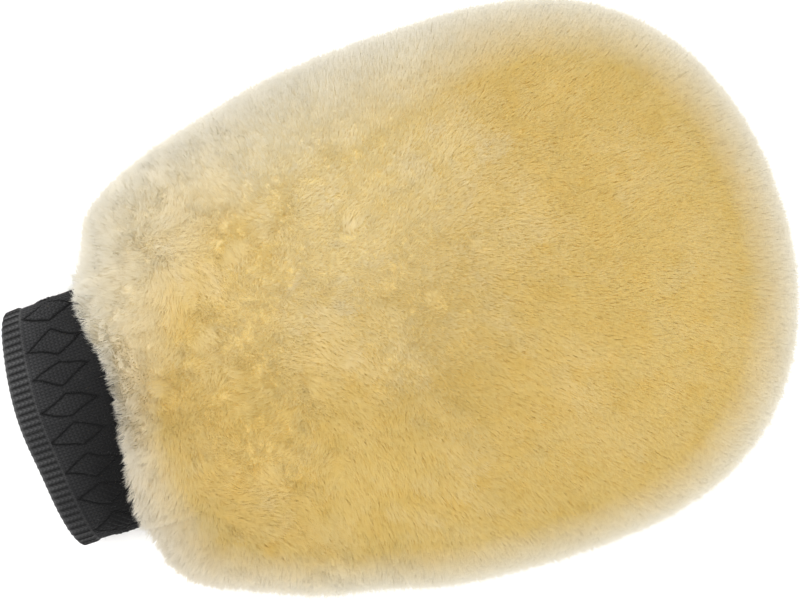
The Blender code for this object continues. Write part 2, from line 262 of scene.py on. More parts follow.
# ---------------- numbers


def unit(vectors):
    lengths = np.linalg.norm(vectors, axis=-1, keepdims=True)
    return vectors / np.maximum(lengths, 1e-12)


def smoothstep(low, high, value):
    t = np.clip((value - low) / (high - low), 0.0, 1.0)
    return t * t * (3.0 - 2.0 * t)


def falling(low, high, value):
    """1 below low, 0 above high."""
    return 1.0 - smoothstep(low, high, value)


def between(ends, share):
    """Value a share of the way from the first of two ends to the second."""
    first, last = ends
    return first + (last - first) * share


def bell(distance, spread):
    return np.exp(-((distance / spread) ** 2))


def ripple(x, y, wavelength, seed, waves=9):
    """Smooth random field over the plan, about -1.5 to 1.5."""
    rng = np.random.default_rng(seed)
    total = np.zeros_like(x)
    for _ in range(waves):
        heading = rng.uniform(0, 2 * math.pi)
        number = 2 * math.pi / (wavelength * rng.uniform(0.7, 1.6))
        phase = rng.uniform(0, 2 * math.pi)
        total += np.sin(number * (x * math.cos(heading) + y * math.sin(heading)) + phase)
    return total / math.sqrt(waves / 2)


def round_shares(count):
    """Equal steps once round, from 0 up to but not including 1."""
    return np.arange(count) / count


def quads(grid):
    """The four corners of each cell of a grid, in order round the cell."""
    return np.stack([grid[:-1, :-1], grid[1:, :-1], grid[1:, 1:], grid[:-1, 1:]], axis=2)


# ---------------- shape of the mitt


def midline(x):
    return CUFF_Y * falling(*MIDLINE_BEND_X, x)


def half_width(x, plan):
    low_x, high_x, widest = plan
    widest_x = low_x + WIDEST_FRACTION * (high_x - low_x)
    heel = np.clip((widest_x - x) / (widest_x - low_x), 0.0, 1.0)
    tip = np.clip((x - widest_x) / (high_x - widest_x), 0.0, 1.0)
    heel_part = (1.0 - heel ** HEEL_POWER) ** (1.0 / HEEL_ROOT)
    tip_part = (1.0 - tip ** TIP_POWER) ** (1.0 / TIP_ROOT)
    return widest * np.where(x < widest_x, heel_part, tip_part)


def panel_point(turn, reach, plan):
    """Plan point of a panel: turn is the direction from its middle, reach 0 to 1."""
    low_x, high_x, _ = plan
    middle_x = (low_x + high_x) / 2
    edge_x = middle_x + (high_x - low_x) / 2 * np.cos(turn)
    edge_y = half_width(edge_x, plan) * np.sign(np.sin(turn))
    x = middle_x + reach * (edge_x - middle_x)
    return x, midline(x) + reach * edge_y


def even_turns():
    """Directions spaced evenly along the outline, as a pair (fraction of the way, turn)."""
    from_heel = math.pi * np.linspace(0.0, 1.0, 3000) ** 2.5
    turns = np.concatenate([math.pi - from_heel[::-1], math.pi + from_heel[1:]])
    x, y = panel_point(turns, 1.0, WOOL_PLAN)
    steps = np.hypot(np.diff(x), np.diff(y))
    way = np.concatenate([[0.0], np.cumsum(steps)])
    return way / way[-1], turns


WAY, TURNS = even_turns()


def bulge(turn):
    """Factor on the distance from the middle, 1 where the outline is plain."""
    factor = np.ones_like(turn)
    for at, spread, share in BULGES:
        gap = (turn - math.radians(at) + math.pi) % (2 * math.pi) - math.pi
        factor += share * bell(gap, math.radians(spread))
    return factor


def cuff_lift(x, y):
    """1 over and under the cuff, falling to 0 round its rounded ends."""
    aside = np.abs(y - midline(x))
    start = CUFF_WRIST_HALF_WIDTH - CUFF_END_RADIUS
    round_end = np.clip((aside - start) / (CUFF_END_RADIUS + CUFF_MARGIN), 0.0, 1.0)
    oval = np.sqrt(1.0 - round_end ** 2)
    soft = falling(*LIFT_HALF_WIDTHS, aside)
    return between((oval, soft), smoothstep(*LIFT_BLEND_X, x)) * falling(*LIFT_X, x)


def pile_surface(face, way, fall):
    """Outer surface of the pile.

    way runs 0 to 1 round the mitt, fall from 0 in the middle of the face to 1 at the
    parting between the two faces.
    """
    turn = np.interp(way % 1.0, WAY, TURNS)
    reach = np.sin(fall * math.pi / 2)
    x, y = panel_point(turn, reach, WOOL_PLAN)
    middle_x = (WOOL_HEEL_X + WOOL_TIP_X) / 2
    x = middle_x + (x - middle_x) * bulge(turn)
    y = y * bulge(turn)
    lift = cuff_lift(x, y)
    if face == "back":
        middle, spread = HEEL_RECESS_Y
        recess = HEEL_RECESS * bell(y - middle, spread)
        x = x + recess * falling(0.0, HEEL_RECESS_REACH, x - WOOL_HEEL_X)
        above_cuff = CUFF_Z + CUFF_HALF_HEIGHT + CUFF_MARGIN - PARTING_Z
        edge = PARTING_Z + above_cuff * lift
        z = edge + (CROWN_Z - edge) * np.sqrt(1.0 - reach ** CROWN_POWER)
    else:
        below_cuff = PARTING_Z - (CUFF_Z - CUFF_HALF_HEIGHT - CUFF_MARGIN)
        edge = PARTING_Z - below_cuff * lift
        press = SOLE_OVERSHOOT * np.sqrt(1.0 - reach ** SOLE_POWER)
        z = np.maximum(0.0, edge * (1.0 - press))
    return np.stack([x, y, z], axis=-1)


def pile_normal(face, way, fall):
    """Outward direction of the pile's surface."""
    step = 1e-3
    fall = np.clip(fall, 4 * step, 1.0 - 2 * step)
    outward = pile_surface(face, way, fall + step) - pile_surface(face, way, fall - step)
    around = pile_surface(face, way + step, fall) - pile_surface(face, way - step, fall)
    normal = unit(np.cross(outward, around))
    return normal if face == "back" else -normal


def root_point(face, way, fall):
    """Where on the skin the wool at a place of the surface grows from.

    In the middle of a face it grows straight up.  Towards the seam the roots crowd
    together and the wool fans out round the mitt's edge.
    """
    turn = np.interp(way % 1.0, WAY, TURNS)
    depth = (CROWN_Z - PARTING_Z) if face == "back" else PARTING_Z
    spread = (HIDE_HALF_WIDTH + depth) / HIDE_HALF_WIDTH
    reach = 1.0 - (1.0 - fall) ** spread
    x, y = panel_point(turn, reach, HIDE_PLAN)
    x = np.maximum(x, HIDE_MOUTH_X + MM)
    hide = HIDE_HIGH.z if face == "back" else FLAT_HIDE_Z
    z = between((hide, PARTING_Z), smoothstep(ROOTS_BEND_REACH, 1.0, reach))
    return np.stack([x, y, z], axis=-1)


def scatter(face, count, rng):
    """Places spread evenly over a face, as way and fall, and the face's area."""
    way_edges = np.linspace(0.0, 1.0, 361)
    fall_edges = np.linspace(0.0, 1.0, 121)
    way, fall = np.meshgrid(way_edges, fall_edges, indexing="ij")
    a, b, c, d = np.moveaxis(quads(pile_surface(face, way, fall)), 2, 0)
    area = np.linalg.norm(np.cross(b - a + c - d, d - a + c - b), axis=-1).ravel() / 4
    chosen = np.searchsorted(np.cumsum(area) / area.sum(), rng.random(count))
    i, j = np.divmod(np.minimum(chosen, area.size - 1), fall_edges.size - 1)
    way = (i + rng.random(count)) / (way_edges.size - 1)
    fall = (j + rng.random(count)) / (fall_edges.size - 1)
    return way, fall, area.sum()


# ---------------- wool fibres


def tufts(face, area_each, rng, area):
    """Centres of tufts on the pile's surface, with a search tree."""
    count = int(area / area_each)
    way, fall, _ = scatter(face, count, rng)
    centres = pile_surface(face, way, fall)
    tree = KDTree(count)
    for index, centre in enumerate(centres):
        tree.insert(centre, index)
    tree.balance()
    return centres, tree


def nearest(tree, points):
    """Number of the centre nearest to each point."""
    find = tree.find
    found = (find(point)[1] for point in points.tolist())
    return np.fromiter(found, dtype=np.int64, count=len(points))


def comb(points, face):
    """Sideways lean of the wool at each point, as a share of the fibre's length."""
    x, y = points[:, 0], points[:, 1]
    lean = np.zeros_like(points)
    swirl = between(SWIRL_LEAN, falling(*TOUSLED_X, x))
    for axis, mean in enumerate(MEAN_LEAN):
        lean[:, axis] = mean + swirl * ripple(x, y, SWIRL_SIZE, 3 + axis)
        lean[:, axis] += RIPPLE_LEAN * ripple(x, y, RIPPLE_SIZE, 5 + axis)
    if face == "palm":
        return PALM_LEAN * lean
    for middle_x, middle_y, degrees, length in PARTINGS:
        along = np.array([math.cos(math.radians(degrees)), math.sin(math.radians(degrees))])
        across = np.array([-along[1], along[0]])
        offset = points[:, :2] - np.array([middle_x, middle_y]) * MM
        past_end, aside = np.abs(offset @ along) - length * MM / 2, offset @ across
        fade = bell(aside, PARTING_REACH) * falling(*PARTING_FADE, past_end)
        lean[:, :2] += (PARTING_LEAN * fade * np.sign(aside))[:, None] * across
    return lean


def pale_edge_and_glow(x, y, fall):
    """1 in the pale band round the mitt's edge, partly paler wool and partly painted glow of
    light through the edge; widest beside the cuff's +Y end, on the lit side.
    """
    reach = np.sin(fall * math.pi / 2)
    corner = smoothstep(*CORNER_Y, y - CORNER_SLOPE * x) * falling(0.0, CORNER_REACH, x)
    heel = falling(WOOL_HEEL_X, WOOL_HEEL_X + PALE_HEEL_LENGTH, x)
    start = PALE_START - PALE_WIDENING * np.maximum(corner, PALE_HEEL_SHARE * heel)
    return np.clip((reach - start) / (1.0 - start), 0.0, 1.0)


def gold_and_shade_share(x, y):
    """0 where the wool is a light yellow under a painted highlight, 1 where it is a deeper
    apricot gold, partly tint and partly painted shade.
    """
    highlight_x, highlight_y = HIGHLIGHT_MIDDLE
    patch_x, patch_y, radius, depth = GOLD_PATCH
    broad = smoothstep(*HIGHLIGHT_REACH, np.hypot(x - highlight_x, y - highlight_y))
    broad += GOLD_RIPPLE * ripple(x, y, GOLD_RIPPLE_SIZE, 31)
    broad *= between(HEEL_GOLD, smoothstep(*HEEL_GOLD_X, x))
    patch = depth * bell(np.hypot(x - patch_x, y - patch_y), radius)
    return np.clip(broad + patch, 0.0, 1.0)


def place_facts(points, fall):
    """What the wool's colour follows: the pale outline with painted glow, gold with painted
    highlight and shade, and painted shade by the cuff.
    """
    x, y = points[..., 0], points[..., 1]
    return {
        "outline": pale_edge_and_glow(x, y, fall),
        "gold_and_shade": gold_and_shade_share(x, y),
        "heel_shade": falling(*HEEL_SHADE_X, x) * falling(*HEEL_SHADE_Y, y),
    }


def fibre_curves(base, middle, tip, hook):
    """Stations along each fibre: a bend from base to tip, and a hook over its outer part."""
    lines = []
    for t in STATIONS:
        point = (1 - t) ** 2 * base + 2 * t * (1 - t) * middle + t * t * tip
        bend = max(0.0, t - HOOK_START) / (1.0 - HOOK_START)
        lines.append(point + hook * bend * bend)
    lines = np.stack(lines, axis=1)
    lines[:, :, 2] = np.maximum(lines[:, :, 2], FLOOR_GAP)
    return lines


def ribbon_directions(lines, normal, twist):
    """Sideways direction at each station, and where each ribbon's flat side faces."""
    tangent = np.gradient(lines, axis=1)
    side = unit(np.cross(tangent, normal[:, None, :]))
    facing = unit(np.cross(side, tangent))
    side = side * np.cos(twist) + facing * np.sin(twist)
    facing = np.cross(side, tangent).sum(axis=1)
    inward = np.sum(facing * normal, axis=1) < 0
    side[inward] *= -1.0
    return side, unit(np.where(inward[:, None], -facing, facing))


def grow(face, count, rng):
    """Fibres of one face as points along each, ribbon directions and colour facts."""
    way, fall, area = scatter(face, count, rng)
    surface = pile_surface(face, way, fall)
    normal = pile_normal(face, way, fall)
    axis = unit(surface - root_point(face, way, fall))

    big_centres, big_tree = tufts(face, BIG_TUFT_AREA, rng, area)
    small_centres, small_tree = tufts(face, SMALL_TUFT_AREA, rng, area)
    wobble = TUFT_WOBBLE * rng.standard_normal(surface.shape)
    big = nearest(big_tree, surface + wobble)
    small = nearest(small_tree, surface + SMALL_WOBBLE_SHARE * wobble)

    def big_draws(*size):
        """Random amounts shared by the fibres of a big tuft."""
        return rng.standard_normal((len(big_centres), *size))[big]

    def small_draws(*size):
        return rng.standard_normal((len(small_centres), *size))[small]

    loose = falling(*TOUSLED_X, surface[:, 0])[:, None]
    facts = place_facts(surface, fall)
    outline = facts["outline"]
    lean = comb(surface, face) * (1.0 - OUTLINE_CALMING * outline[:, None])
    lean += between(BIG_TUFT_LEAN, loose) * big_draws(3)
    lean += between(SMALL_TUFT_LEAN, loose) * small_draws(3)
    lean += FIBRE_LEAN * rng.standard_normal(surface.shape)
    lean[:, 2] -= DROOP * (1.0 - normal[:, 2] ** 2)
    lean -= normal * np.sum(lean * normal, axis=1, keepdims=True)

    height = BIG_TUFT_HEIGHT * big_draws() + SMALL_TUFT_HEIGHT * small_draws()
    stray = rng.random(count) < STRAY_SHARE
    height += np.where(stray, rng.uniform(*STRAY_HEIGHT, count), 0.0)
    height += FIBRE_HEIGHT * rng.standard_normal(count)
    lock = rng.random(len(small_centres))[small]
    height += FRINGE * outline * (lock + np.minimum(rng.exponential(1.0, count), LONGEST_FRINGE))
    from_heel = surface[:, 0] - WOOL_HEEL_X - HEEL_RECESS / 2
    heel = falling(0.0, HEEL_LOCKS_REACH, from_heel) * smoothstep(*HEEL_LOCKS_FALL, fall)
    height += HEEL_LOCKS * heel * (lock - 0.5)

    reach = lean * between(FIBRE_LENGTH, loose)
    closing = between(SMALL_TUFT_CLOSING, outline)[:, None]
    base = surface - reach - axis * FIBRE_DEPTH
    middle = base + axis * BEND_HEIGHT + BEND_REACH * reach
    tip = surface - closing * (surface - small_centres[small])
    tip -= BIG_TUFT_CLOSING * loose * (surface - big_centres[big])
    tip += axis * height[:, None]
    hook = unit(np.cross(axis, rng.standard_normal(surface.shape)))
    hook *= rng.uniform(*HOOK_SIZE, count)[:, None]
    lines = fibre_curves(base, middle, tip, hook)

    twist = rng.normal(0.0, TWIST, count)[:, None, None]
    side, facing = ribbon_directions(lines, normal, twist)
    shading = normal + FACING_SHARE * facing
    if face == "back":
        tipwards = smoothstep(*OUTLINE_UPWARD_X, surface[:, 0])
        shading[:, 2] += outline * between(OUTLINE_UPWARD, tipwards)
    tone = 0.5 + BIG_TUFT_TONE * big_draws() + SMALL_TUFT_TONE * small_draws()
    tone += FIBRE_TONE * rng.standard_normal(count)
    thinning = 1.0 - OUTLINE_THINNING * outline
    return {
        "lines": lines,
        "side": side,
        "shading": unit(shading),
        "width": FIBRE_WIDTH * rng.uniform(*WIDTH_SPREAD, count) * thinning,
        "tone": tone,
        **facts,
    }


def build_mesh(name, points, corners, starts, uv, facts):
    """Smooth mesh of points, its faces' corners in one row, and where each face starts."""
    mesh = bpy.data.meshes.new(name)
    mesh.vertices.add(len(points))
    mesh.vertices.foreach_set("co", points.astype(np.float32).ravel())
    mesh.loops.add(len(corners))
    mesh.loops.foreach_set("vertex_index", corners.astype(np.int32))
    mesh.polygons.add(len(starts))
    mesh.polygons.foreach_set("loop_start", starts.astype(np.int32))
    mesh.update(calc_edges=True)
    mesh.shade_smooth()
    layer = mesh.uv_layers.new(name="OFBake")
    layer.data.foreach_set("uv", uv.astype(np.float32).ravel())
    for fact, values in facts.items():
        attribute = mesh.attributes.new(fact, "FLOAT", "POINT")
        attribute.data.foreach_set("value", values.astype(np.float32).ravel())
    return mesh


def ribbon_mesh(name, fibres):
    """One mesh of tapering ribbons, a point at each fibre's tip."""
    lines, side = fibres["lines"], fibres["side"]
    count, stations = lines.shape[:2]
    half = np.array(STATION_WIDTHS)[None, :, None] * fibres["width"][:, None, None] / 2
    left = lines - side * half
    right = lines + side * half
    pairs = np.stack([left[:, :-1], right[:, :-1]], axis=2).reshape(count, -1, 3)
    points = np.concatenate([pairs, lines[:, -1:]], axis=1)
    per_fibre = points.shape[1]

    corners = []
    for k in range(stations - 2):
        corners += [2 * k, 2 * k + 1, 2 * k + 3, 2 * k + 2]
    last = 2 * (stations - 2)
    corners += [last, last + 1, last + 2]
    sizes = np.array([4] * (stations - 2) + [3])
    loops = (np.array(corners)[None, :] + per_fibre * np.arange(count)[:, None]).ravel()
    starts = np.concatenate([[0], np.cumsum(np.tile(sizes, count))[:-1]])

    along = np.tile([*np.repeat(STATIONS[:-1], 2), STATIONS[-1]], (count, 1))
    u, v = atlas_cells(lines[:, -1], along)
    uv = np.stack([u.ravel()[loops], v.ravel()[loops]], axis=1)
    facts = {"along": along}
    for fact in ("outline", "tone", "gold_and_shade", "heel_shade"):
        facts[fact] = np.repeat(fibres[fact], per_fibre)
    mesh = build_mesh(name, points.reshape(-1, 3), loops, starts, uv, facts)
    normals = np.repeat(fibres["shading"], per_fibre, axis=0)
    attribute = mesh.attributes.new("custom_normal", "FLOAT_VECTOR", "POINT")
    attribute.data.foreach_set("vector", normals.astype(np.float32).ravel())
    return mesh


def atlas_cells(tips, along):
    """A small patch of the map for each neighbourhood: fibres side by side, root to tip up."""
    cells = 64
    margin, inside = 0.08, 0.84
    golden_share = 0.618034
    low, high = tips[:, :2].min(axis=0), tips[:, :2].max(axis=0)
    place = (tips[:, :2] - low) / (high - low) * (cells - 0.001)
    cell = np.floor(place)
    share = (np.arange(len(tips)) * golden_share) % 1.0
    u = (cell[:, 0] + margin + inside * share)[:, None] / cells
    v = (cell[:, 1][:, None] + margin + inside * along) / cells
    return np.repeat(u, along.shape[1], axis=1), v


def new_object(data):
    obj = bpy.data.objects.new(data.name, data)
    bpy.context.scene.collection.objects.link(obj)
    return obj


def add_piece(mesh, material, node=None):
    """Finished piece on the mitt's one body, instead of a CAD node if one is named."""
    mesh.materials.append(material)
    piece = new_object(mesh)
    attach(piece, "root")
    if node is not None:
        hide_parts(node)
    return piece


def make_wool(face, count, material, rng):
    """The wool of one face, in several pieces that each stay a workable size."""
    fibres = grow(face, count, rng)
    order = np.argsort(fibres["lines"][:, -1, 0], kind="stable")
    total = math.ceil(count / FIBRES_PER_PIECE)
    for number, chosen in enumerate(np.array_split(order, total), start=1):
        part = {fact: values[chosen] for fact, values in fibres.items()}
        mesh = ribbon_mesh(f"{face}_wool_fibres_{number}", part)
        add_piece(mesh, material, f"{face}_wool")


def grid_mesh(name, points, closed_u=False, closed_v=False, capped=False, facts=None):
    """Mesh through a grid of points[u, v], joined to itself where a direction is closed.

    Capped ends are closed by quads from one side of the ring to the other.
    """
    rows, columns = points.shape[:2]
    index = np.arange(rows * columns).reshape(rows, columns)
    if closed_u:
        index = np.concatenate([index, index[:1]], axis=0)
    if closed_v:
        index = np.concatenate([index, index[:, :1]], axis=1)
    faces = quads(index).reshape(-1, 4)
    shares = [np.arange(size) / (size - 1) for size in index.shape]
    uv = quads(np.stack(np.meshgrid(*shares, indexing="ij"), axis=-1)).reshape(-1, 4, 2)
    if capped:
        k = np.arange(columns // 2 - 1)
        cap = np.stack([k, k + 1, columns - 2 - k, columns - 1 - k], axis=-1)
        faces = np.concatenate([faces, cap[:, ::-1], cap + (rows - 1) * columns])
        uv = np.concatenate([uv, np.zeros((2 * len(cap), 4, 2))])
    starts = np.arange(0, faces.size, 4)
    return build_mesh(name, points.reshape(-1, 3), faces.ravel(), starts, uv, facts or {})


def make_undercoat(face, material):
    """The dense wool just under the fibre tips."""
    rounds, falls = 560, 150
    way, fall = np.meshgrid(round_shares(rounds), np.linspace(0.002, 1.0, falls), indexing="ij")
    surface = pile_surface(face, way, fall)
    axis = unit(surface - root_point(face, way, fall))
    x, y = surface[..., 0], surface[..., 1]
    uneven = UNDERCOAT_UNEVEN * (ripple(x, y, 6 * MM, 11) + ripple(x, y, 3 * MM, 12))
    points = surface - axis * (UNDERCOAT_DEPTH + uneven)[..., None]
    facts = place_facts(surface, fall)
    if face == "palm":
        points = points[:, ::-1]
        facts = {fact: values[:, ::-1] for fact, values in facts.items()}
    mesh = grid_mesh(f"{face}_wool_undercoat", points, closed_u=True, facts=facts)
    coat = add_piece(mesh, material, f"{face}_wool")


# ---------------- cuff


def cuff_width(distance):
    """Half-width of the cuff at a distance from its rim."""
    share = np.clip(distance / CUFF_LENGTH, 0.0, 1.0)
    return between((CUFF_RIM_HALF_WIDTH, CUFF_WRIST_HALF_WIDTH), share)


def cuff_section(width, share):
    """Points (y, z) round the cuff's oval and their outward directions.

    share runs 0 to 1 from the middle of the top, over the -Y end.
    """
    tight_y = width - CUFF_END_RADIUS
    rise = CUFF_HALF_HEIGHT - CUFF_END_RADIUS
    wide_radius = (tight_y ** 2 + CUFF_HALF_HEIGHT ** 2 - CUFF_END_RADIUS ** 2) / (2 * rise)
    meet = math.asin(tight_y / (wide_radius - CUFF_END_RADIUS))
    wide = 2 * meet * wide_radius
    tight = (math.pi - 2 * meet) * CUFF_END_RADIUS
    ends = np.cumsum([0.0, wide, tight, wide, tight])
    sweeps = (2 * meet, math.pi - 2 * meet)
    turns = np.cumsum([math.pi / 2 - meet, *sweeps, *sweeps])
    way = (share * ends[-1] + wide / 2) % ends[-1]
    arc = np.clip(np.searchsorted(ends, way, side="right") - 1, 0, 3)
    angle = np.interp(way, ends, turns)
    drop = wide_radius - CUFF_HALF_HEIGHT
    centre = np.array([(0.0, -drop), (-tight_y, 0.0), (0.0, drop), (tight_y, 0.0)])[arc]
    radius = np.array([wide_radius, CUFF_END_RADIUS] * 2)[arc]
    outward = np.stack([np.cos(angle), np.sin(angle)], axis=-1)
    return centre + radius[:, None] * outward, outward


def cuff_wall(share, path):
    """Grid of points on the cuff's wall.

    share is the way round, path a list of (distance from the rim, depth below the outside).
    """
    columns = []
    for distance, depth in path:
        width = cuff_width(distance)
        flat, outward = cuff_section(width, share)
        moved = flat - outward * depth
        bow = RIM_SET_BACK + RIM_BOW * (flat[:, 0] / width) ** 2
        dent_y, dent_spread, dent = RIM_DENT
        bow += dent * bell(flat[:, 0] - dent_y, dent_spread)
        x = RIM_X + distance + bow * (1.0 - distance / CUFF_LENGTH)
        columns.append(np.stack([x, CUFF_Y + moved[:, 0], CUFF_Z + moved[:, 1]], axis=-1))
    return np.stack(columns, axis=1)


def girth():
    """Length round the outside of the cuff at the welt's end."""
    points, _ = cuff_section(cuff_width(WELT_LENGTH), np.linspace(0.0, 1.0, 721))
    return np.linalg.norm(np.diff(points, axis=0), axis=1).sum()


def fold_path():
    """The folded welt's path: outside, round the rim, and back inside, then its inner face."""
    radius, turn_points = CUFF_WALL / 2, 14
    outside, inside = [], []
    for path, offset in ((outside, 0.0), (inside, KNIT_THICKNESS)):
        path += [(d, offset) for d in np.linspace(WELT_LENGTH, radius, 22)]
        for i in range(1, turn_points):
            angle = math.pi * i / turn_points
            reach = radius - offset
            path.append((radius - reach * math.sin(angle), radius - reach * math.cos(angle)))
        path += [(d, CUFF_WALL - offset) for d in np.linspace(radius, WELT_LENGTH, 12)]
    return outside, inside[::-1]


def wall_relief(share, path, relief):
    """The cuff's wall moved out along its own normals by the relief."""
    flat = cuff_wall(share, path)
    around = np.roll(flat, -1, axis=0) - np.roll(flat, 1, axis=0)
    along = np.roll(flat, -1, axis=1) - np.roll(flat, 1, axis=1)
    return flat + unit(np.cross(around, along)) * relief[..., None]


def knit_tube(node, material, share, face, back, relief, groove):
    """Closed knitted tube of two paths: its worked face with relief, and its plain back."""
    path = face + back
    blank = np.zeros((len(share), len(back)))
    points = wall_relief(share, path, np.concatenate([relief, blank], axis=1))
    steps = np.hypot(*np.diff(np.array(path), axis=0).T)
    courses = np.concatenate([[0.0], np.cumsum(steps)]) / COURSE_LENGTH
    # Painted light on the knit: paler towards the rim, darker towards the wrist under the wool's
    # shadow, and darker on the -Y side
    from_wrist = 1.0 - np.array([distance for distance, _ in path]) / CUFF_LENGTH
    minus_y_shade = 0.3 * np.sin(2 * math.pi * share)
    facts = {
        # The groove fact darkens the yarn in the grooves: painted shade
        "groove": np.concatenate([groove, blank], axis=1),
        "painted_light": from_wrist[None, :] ** 2 - minus_y_shade[:, None],
        "around": np.repeat(share[:, None] * WALES, len(path), axis=1),
        "course": np.repeat(courses[None, :], len(share), axis=0),
    }
    mesh = grid_mesh(f"{node}_tube", points, closed_u=True, closed_v=True, facts=facts)
    return add_piece(mesh, material, node)


def make_welt(material):
    """Rib-knit band folded over the rim, its ribs running from the outside to the inside."""
    share = round_shares(RIBS * RIB_STEPS)
    outside, inside = fold_path()
    across = (share * RIBS) % 1.0 * 2.0 - 1.0
    rib = np.sqrt(1.0 - 0.97 * across ** 2) - 1.0
    start = np.array([distance for distance, _ in outside])
    end = WELT_LENGTH - 0.2 * MM * (1.0 + np.sin(2 * math.pi * 23 * share))[:, None]
    fade = 1.0 - 0.8 * smoothstep(end - RIB_FADE, end, start[None, :])
    fade = fade * (0.3 + 0.7 * smoothstep(0.2 * MM, 2.2 * MM, start))[None, :]
    uneven = 1.0 + 0.15 * np.sin(2 * math.pi * (5 * share[:, None] + 40.0 * start[None, :]))
    relief = RIB_HEIGHT * rib[:, None] * fade * uneven
    # The groove fact paints shade between the ribs
    groove = smoothstep(0.3, 0.95, np.abs(across))[:, None] * fade
    node, slot = "cuff_rib_welt", "cuff_rib"
    welt = knit_tube(node, material, share, outside, inside, relief, groove)


def diamond_field(share, distance):
    """Distance inside (positive) or outside (negative) the nearest, slightly wavy, diamond."""
    turn = 2 * math.pi * share[:, None]
    waver = 0.035 * np.sin(5 * turn + 0.35 * distance[None, :] / MM) + 0.03 * np.sin(9 * turn)
    around = (share[:, None] * DIAMONDS + waver) % 1.0 - 0.5
    aside = np.abs(around) * girth() / DIAMONDS
    sway = 0.7 * MM * np.sin(3 * turn + 1.0) + 0.3 * MM * np.sin(11 * turn)
    lengthwise = np.abs(distance[None, :] - DIAMOND_MIDDLE + sway)
    edge = 1.0 - aside / DIAMOND_HALF_WIDTH - lengthwise / DIAMOND_HALF_LENGTH
    slope = math.hypot(1.0 / DIAMOND_HALF_WIDTH, 1.0 / DIAMOND_HALF_LENGTH)
    return edge / slope


def make_outer_knit(material):
    """Knitted tube with a row of raised moss-stitch diamonds between plain wales."""
    share = round_shares(WALES * WALE_STEPS)
    start = WELT_LENGTH + KNIT_GAP
    outer = [(d, 0.0) for d in np.linspace(start, CUFF_LENGTH, 112)]
    inner = [(d, KNIT_THICKNESS) for d in np.linspace(CUFF_LENGTH, start, 14)]
    distance = np.array([d for d, _ in outer])
    inside = diamond_field(share, distance)
    raised = smoothstep(0.0, DIAMOND_EDGE, inside)
    # groove also paints shade along the diamonds' edges
    groove = bell(inside, GROOVE_HALF_WIDTH)
    wale = np.cos(2 * math.pi * share * WALES)[:, None]
    course = np.cos(math.pi * distance / COURSE_LENGTH)[None, :]
    moss = np.cos(math.pi * share * WALES)[:, None] * course
    relief = WALE_HEIGHT * wale * (1.0 - raised)
    relief += raised * (DIAMOND_HEIGHT + MOSS_HEIGHT * moss)
    relief -= GROOVE_DEPTH * groove
    settle = smoothstep(distance[0], distance[0] + 1.0 * MM, distance)[None, :]
    relief = relief * settle - 0.05 * MM
    node, slot = "cuff_outer_knit", "cuff_knit"
    tube = knit_tube(node, material, share, outer, inner, relief, groove)


def make_inner_knit(material):
    """Plain lining layer of the cuff, its wales facing the wrist."""
    share = round_shares(WALES * LINING_WALE_STEPS)
    ends = (CUFF_LENGTH, WELT_LENGTH + KNIT_GAP)
    face = [(d, CUFF_WALL) for d in np.linspace(*ends, 40)]
    back = [(d, CUFF_WALL - KNIT_THICKNESS) for d in np.linspace(*ends[::-1], 10)]
    wale = WALE_HEIGHT * (np.cos(2 * math.pi * share * WALES) - 1.0)
    relief = np.repeat(wale[:, None], len(face), axis=1)
    node, slot = "cuff_inner_knit", "cuff_lining"
    groove = np.zeros(relief.shape)
    tube = knit_tube(node, material, share, face, back, relief, groove)


def make_lint(material, rng):
    """Short loose fibres that stand up from the cuff."""
    share = rng.random(LINT_FIBRES)
    distance = rng.uniform(1 * MM, CUFF_LENGTH - 6 * MM, LINT_FIBRES)
    base, outward = [], []
    for around, along in zip(share[:, None], distance):
        base.append(cuff_wall(around, [(along, 0.3 * MM)])[0, 0])
        _, direction = cuff_section(cuff_width(along), around)
        outward.append((0.0, *direction[0]))
    base, outward = np.array(base), np.array(outward)
    heading = unit(outward + LINT_SPREAD * rng.standard_normal(base.shape))
    rise = np.sum(heading * outward, axis=1)
    heading = unit(heading + outward * np.maximum(0.0, LINT_STAND - rise)[:, None])
    curl = unit(rng.standard_normal(base.shape))
    length = rng.uniform(*LINT_LENGTH, LINT_FIBRES)[:, None]
    lines = [base + length * (heading * t + curl * LINT_CURL * t * t) for t in STATIONS]
    lines = np.stack(lines, axis=1)
    fibres = {
        "lines": lines,
        "side": unit(np.cross(np.gradient(lines, axis=1), curl[:, None, :])),
        "shading": outward,
        "width": LINT_WIDTH * rng.uniform(0.7, 1.3, LINT_FIBRES),
        "outline": distance / CUFF_LENGTH,
        "tone": rng.random(LINT_FIBRES),
        "gold_and_shade": np.zeros(LINT_FIBRES),
        "heel_shade": np.zeros(LINT_FIBRES),
    }
    add_piece(ribbon_mesh("cuff_lint", fibres), material)


# ---------------- hides and seams


def pocket_arch(x, across):
    """Height of the hand pocket under the back hide, across running -1 to 1."""
    power = between(ARCH_POWERS, smoothstep(*ARCH_BLEND_X, x))
    along = np.maximum(0.0, (x - POCKET_FULL_X) / (HIDE_TIP_X - POCKET_FULL_X))
    return POCKET_HEIGHT * (1.0 - np.abs(across) ** power) * (1.0 - along ** 2)


